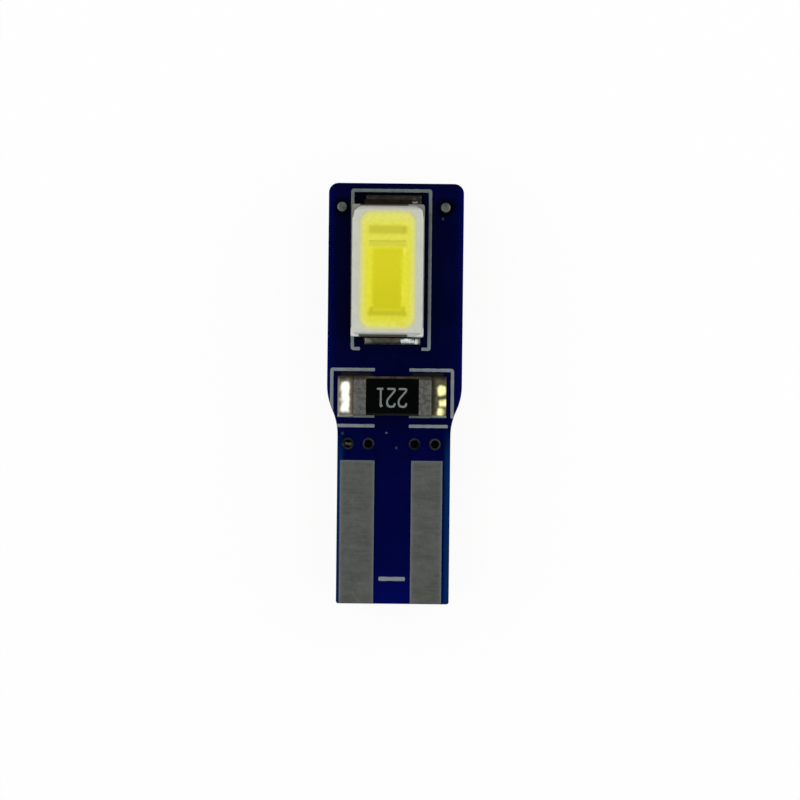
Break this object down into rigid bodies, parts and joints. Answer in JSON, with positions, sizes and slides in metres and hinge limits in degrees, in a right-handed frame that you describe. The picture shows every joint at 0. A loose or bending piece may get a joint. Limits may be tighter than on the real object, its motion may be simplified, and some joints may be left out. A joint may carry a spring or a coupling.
{
  "type": "wedge base led bulb",
  "caption": "Flat circuit-board LED bulb with a wedge blade: an LED and a series resistor on each face, and tinned contacts on the blade.",
  "frame": {"origin": "the middle of the board's outline, in the plane of the back LED's rim, on which the bulb lies", "axes": "+Y along the board from the blade's tip to the LED end, +Z out of the front face, +X to the right as the front face is seen with its LED up"},
  "size_m": [0.0056, 0.0174, 0.0039],
  "materials": {
    "laminate": "routed glass-epoxy edge, pale straw with a green tinge",
    "copper": "etched and plated copper, under the solder mask",
    "tinned_contact": "dull levelled tin, mottled and faintly scratched",
    "solder_mask": "dark navy liquid solder mask, smooth semi-gloss",
    "legend_ink": "grey-white printed ink",
    "led_housing": "white moulded reflector, satin, greyer at the corners",
    "lead_frame": "silvered lead frame, tarnished brown at the cut ends",
    "led_chip": "polished semiconductor chip",
    "bond_wire": "gold wire",
    "phosphor": "yellow phosphor in silicone, satin, unlit",
    "solder": "smooth reflowed solder",
    "resistor_body": "white alumina",
    "resistive_film": "dark fired film",
    "resistor_coat": "black glass coat, satin",
    "resistor_cap": "matte tin plating"
  },
  "bodies": {
    "root": {"laminate": "laminate", "left_via_barrels": "copper", "right_via_barrels": "copper", "link_via_barrels": "copper", "front_supply_track": "copper", "front_series_track": "copper", "front_link_track": "copper", "front_return_track": "copper", "back_supply_track": "copper", "back_series_track": "copper", "back_link_track": "copper", "back_return_track": "copper", "front_left_contact": "tinned_contact", "front_right_contact": "tinned_contact", "back_left_contact": "tinned_contact", "back_right_contact": "tinned_contact", "front_solder_mask": "solder_mask", "back_solder_mask": "solder_mask", "front_legend": "legend_ink", "back_legend": "legend_ink", "front_led_housing": "led_housing", "back_led_housing": "led_housing", "front_led_anode_lead": "lead_frame", "front_led_cathode_lead": "lead_frame", "back_led_anode_lead": "lead_frame", "back_led_cathode_lead": "lead_frame", "front_led_chip": "led_chip", "back_led_chip": "led_chip", "front_led_bond_wires": "bond_wire", "back_led_bond_wires": "bond_wire", "front_led_phosphor": "phosphor", "back_led_phosphor": "phosphor", "link_via_solder": "solder", "front_led_upper_solder": "solder", "front_led_lower_solder": "solder", "back_led_upper_solder": "solder", "back_led_lower_solder": "solder", "front_resistor_left_solder": "solder", "front_resistor_right_solder": "solder", "back_resistor_left_solder": "solder", "back_resistor_right_solder": "solder", "front_resistor_body": "resistor_body", "back_resistor_body": "resistor_body", "front_resistor_film": "resistive_film", "back_resistor_film": "resistive_film", "front_resistor_coat": "resistor_coat", "back_resistor_coat": "resistor_coat", "front_resistor_left_cap": "resistor_cap", "front_resistor_right_cap": "resistor_cap", "back_resistor_left_cap": "resistor_cap", "back_resistor_right_cap": "resistor_cap"}
  },
  "joints": []
}
